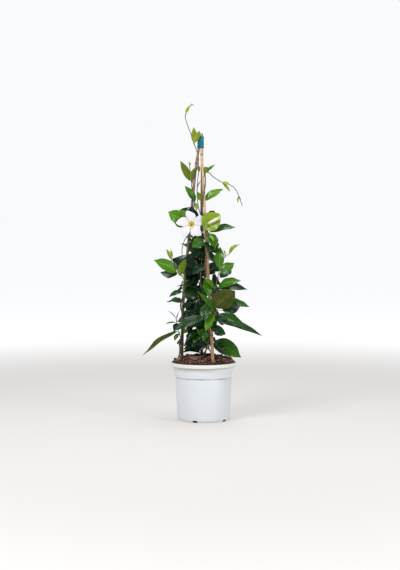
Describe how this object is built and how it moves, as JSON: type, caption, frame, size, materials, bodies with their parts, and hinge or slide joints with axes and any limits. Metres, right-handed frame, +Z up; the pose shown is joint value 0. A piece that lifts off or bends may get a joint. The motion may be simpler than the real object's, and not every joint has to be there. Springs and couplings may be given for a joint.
{
  "type": "potted mandevilla",
  "caption": "Flowering climbing plant in a round nursery pot, twining up a tripod of bamboo canes tied together at the top, with an open flower and a bud.",
  "frame": {"origin": "centre of the flat underside of the pot, which rests on the ground", "axes": "+Z up along the pot's axis, +Y away from the viewer of the pictured front, +X to the viewer's right"},
  "size_m": [0.3077, 0.2285, 0.8172],
  "materials": {
    "pot": "semi-matte moulded",
    "potting_mix": "loose bark and coir",
    "cane_dark": "bamboo skin",
    "cane_tan": "bamboo skin",
    "cane_brown": "bamboo skin",
    "tie": "soft wrapped tape",
    "foliage_young": "waxy leaf",
    "foliage": "waxy leaf",
    "foliage_dark": "glossy leaf",
    "petal": "velvety petal",
    "throat": "velvety petal",
    "bud": "velvety petal"
  },
  "bodies": {
    "root": {"pot": "pot", "soil": "potting_mix", "cane_left": "cane_dark", "cane_front": "cane_tan", "cane_back": "cane_brown", "cane_tie": "tie", "vine_left": "foliage_young", "vine_front": "foliage", "vine_back": "foliage_dark", "flower_corolla": "petal", "flower_throat": "throat", "flower_bud": "bud"}
  },
  "joints": []
}
